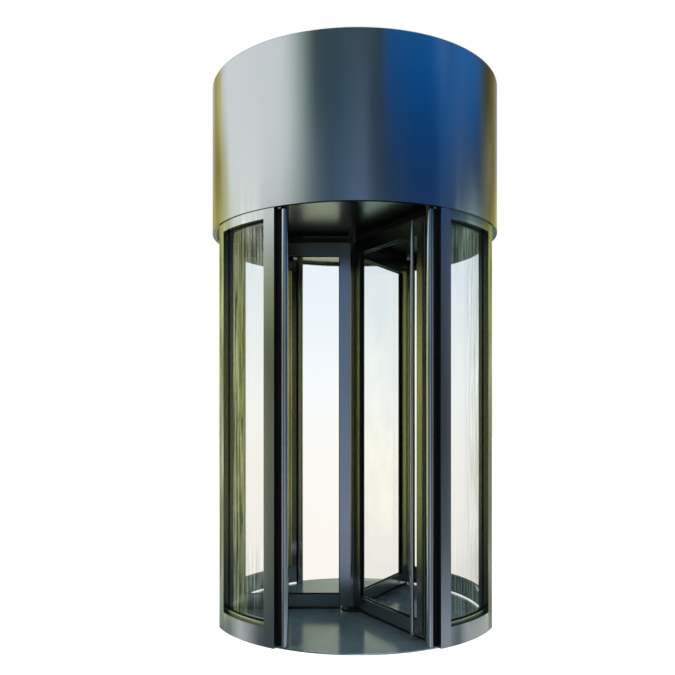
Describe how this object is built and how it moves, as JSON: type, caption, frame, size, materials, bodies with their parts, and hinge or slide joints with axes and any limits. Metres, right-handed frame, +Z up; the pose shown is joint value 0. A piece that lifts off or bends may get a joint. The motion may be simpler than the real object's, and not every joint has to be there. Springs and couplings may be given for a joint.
{
  "type": "revolving door",
  "caption": "Round revolving door: glazed wings on a central shaft turn between curved glass walls under a tall metal drum fascia.",
  "frame": {"origin": "centre of the floor on the turning axis, at floor level", "axes": "+Z up along the turning axis, -Y out of the front mouth, +X to the right seen from the front"},
  "size_m": [1.9, 1.8998, 3.475],
  "materials": {
    "brushed_steel": "satin brushed stainless, grain along the arc",
    "polished_steel": "fine-ground tube, bright",
    "wing_metal": "satin, dark grey",
    "dark_metal": "semi-gloss near-black",
    "wall_glass": "clear curved laminated glass",
    "wing_glass": "clear toughened glass",
    "black_rubber": "matt black",
    "brush_seal": "black bristle",
    "floor": "polished dark slate",
    "ceiling": "gloss dark grey",
    "roof": "plain grey sheet"
  },
  "bodies": {
    "enclosure": {"floor_plate": "floor", "floor_trims": "polished_steel", "floor_bearing": "dark_metal", "ceiling_plate": "ceiling", "top_bearing": "dark_metal", "roof_cover": "roof", "fascia_front": "brushed_steel", "fascia_rear": "brushed_steel", "head_channels": "dark_metal", "mouth_gaskets": "black_rubber", "wall_beads": "brushed_steel", "right_front_posts": "brushed_steel", "right_front_rails": "brushed_steel", "right_front_glass": "wall_glass", "right_rear_posts": "brushed_steel", "right_rear_rails": "brushed_steel", "right_rear_glass": "wall_glass", "right_middle_rails": "brushed_steel", "right_middle_glass": "wall_glass", "right_mouth_tubes": "polished_steel", "left_front_posts": "brushed_steel", "left_front_rails": "brushed_steel", "left_front_glass": "wall_glass", "left_rear_posts": "brushed_steel", "left_rear_rails": "brushed_steel", "left_rear_glass": "wall_glass", "left_middle_rails": "brushed_steel", "left_middle_glass": "wall_glass", "left_mouth_tubes": "polished_steel"},
    "rotor": {"centre_shaft": "polished_steel", "wing_1_stiles": "wing_metal", "wing_1_rails": "wing_metal", "wing_1_glass": "wing_glass", "wing_1_seals": "brush_seal", "wing_1_push_bar": "polished_steel", "wing_2_stiles": "wing_metal", "wing_2_rails": "wing_metal", "wing_2_glass": "wing_glass", "wing_2_seals": "brush_seal", "wing_2_push_bar": "polished_steel", "wing_3_stiles": "wing_metal", "wing_3_rails": "wing_metal", "wing_3_glass": "wing_glass", "wing_3_seals": "brush_seal", "wing_3_push_bar": "polished_steel"}
  },
  "joints": [
    {"name": "rotor_turn", "type": "hinge", "parent": "enclosure", "child": "rotor", "pos_m": [0, 0, 0], "axis": [0, 0, 1], "continuous": true}
  ]
}
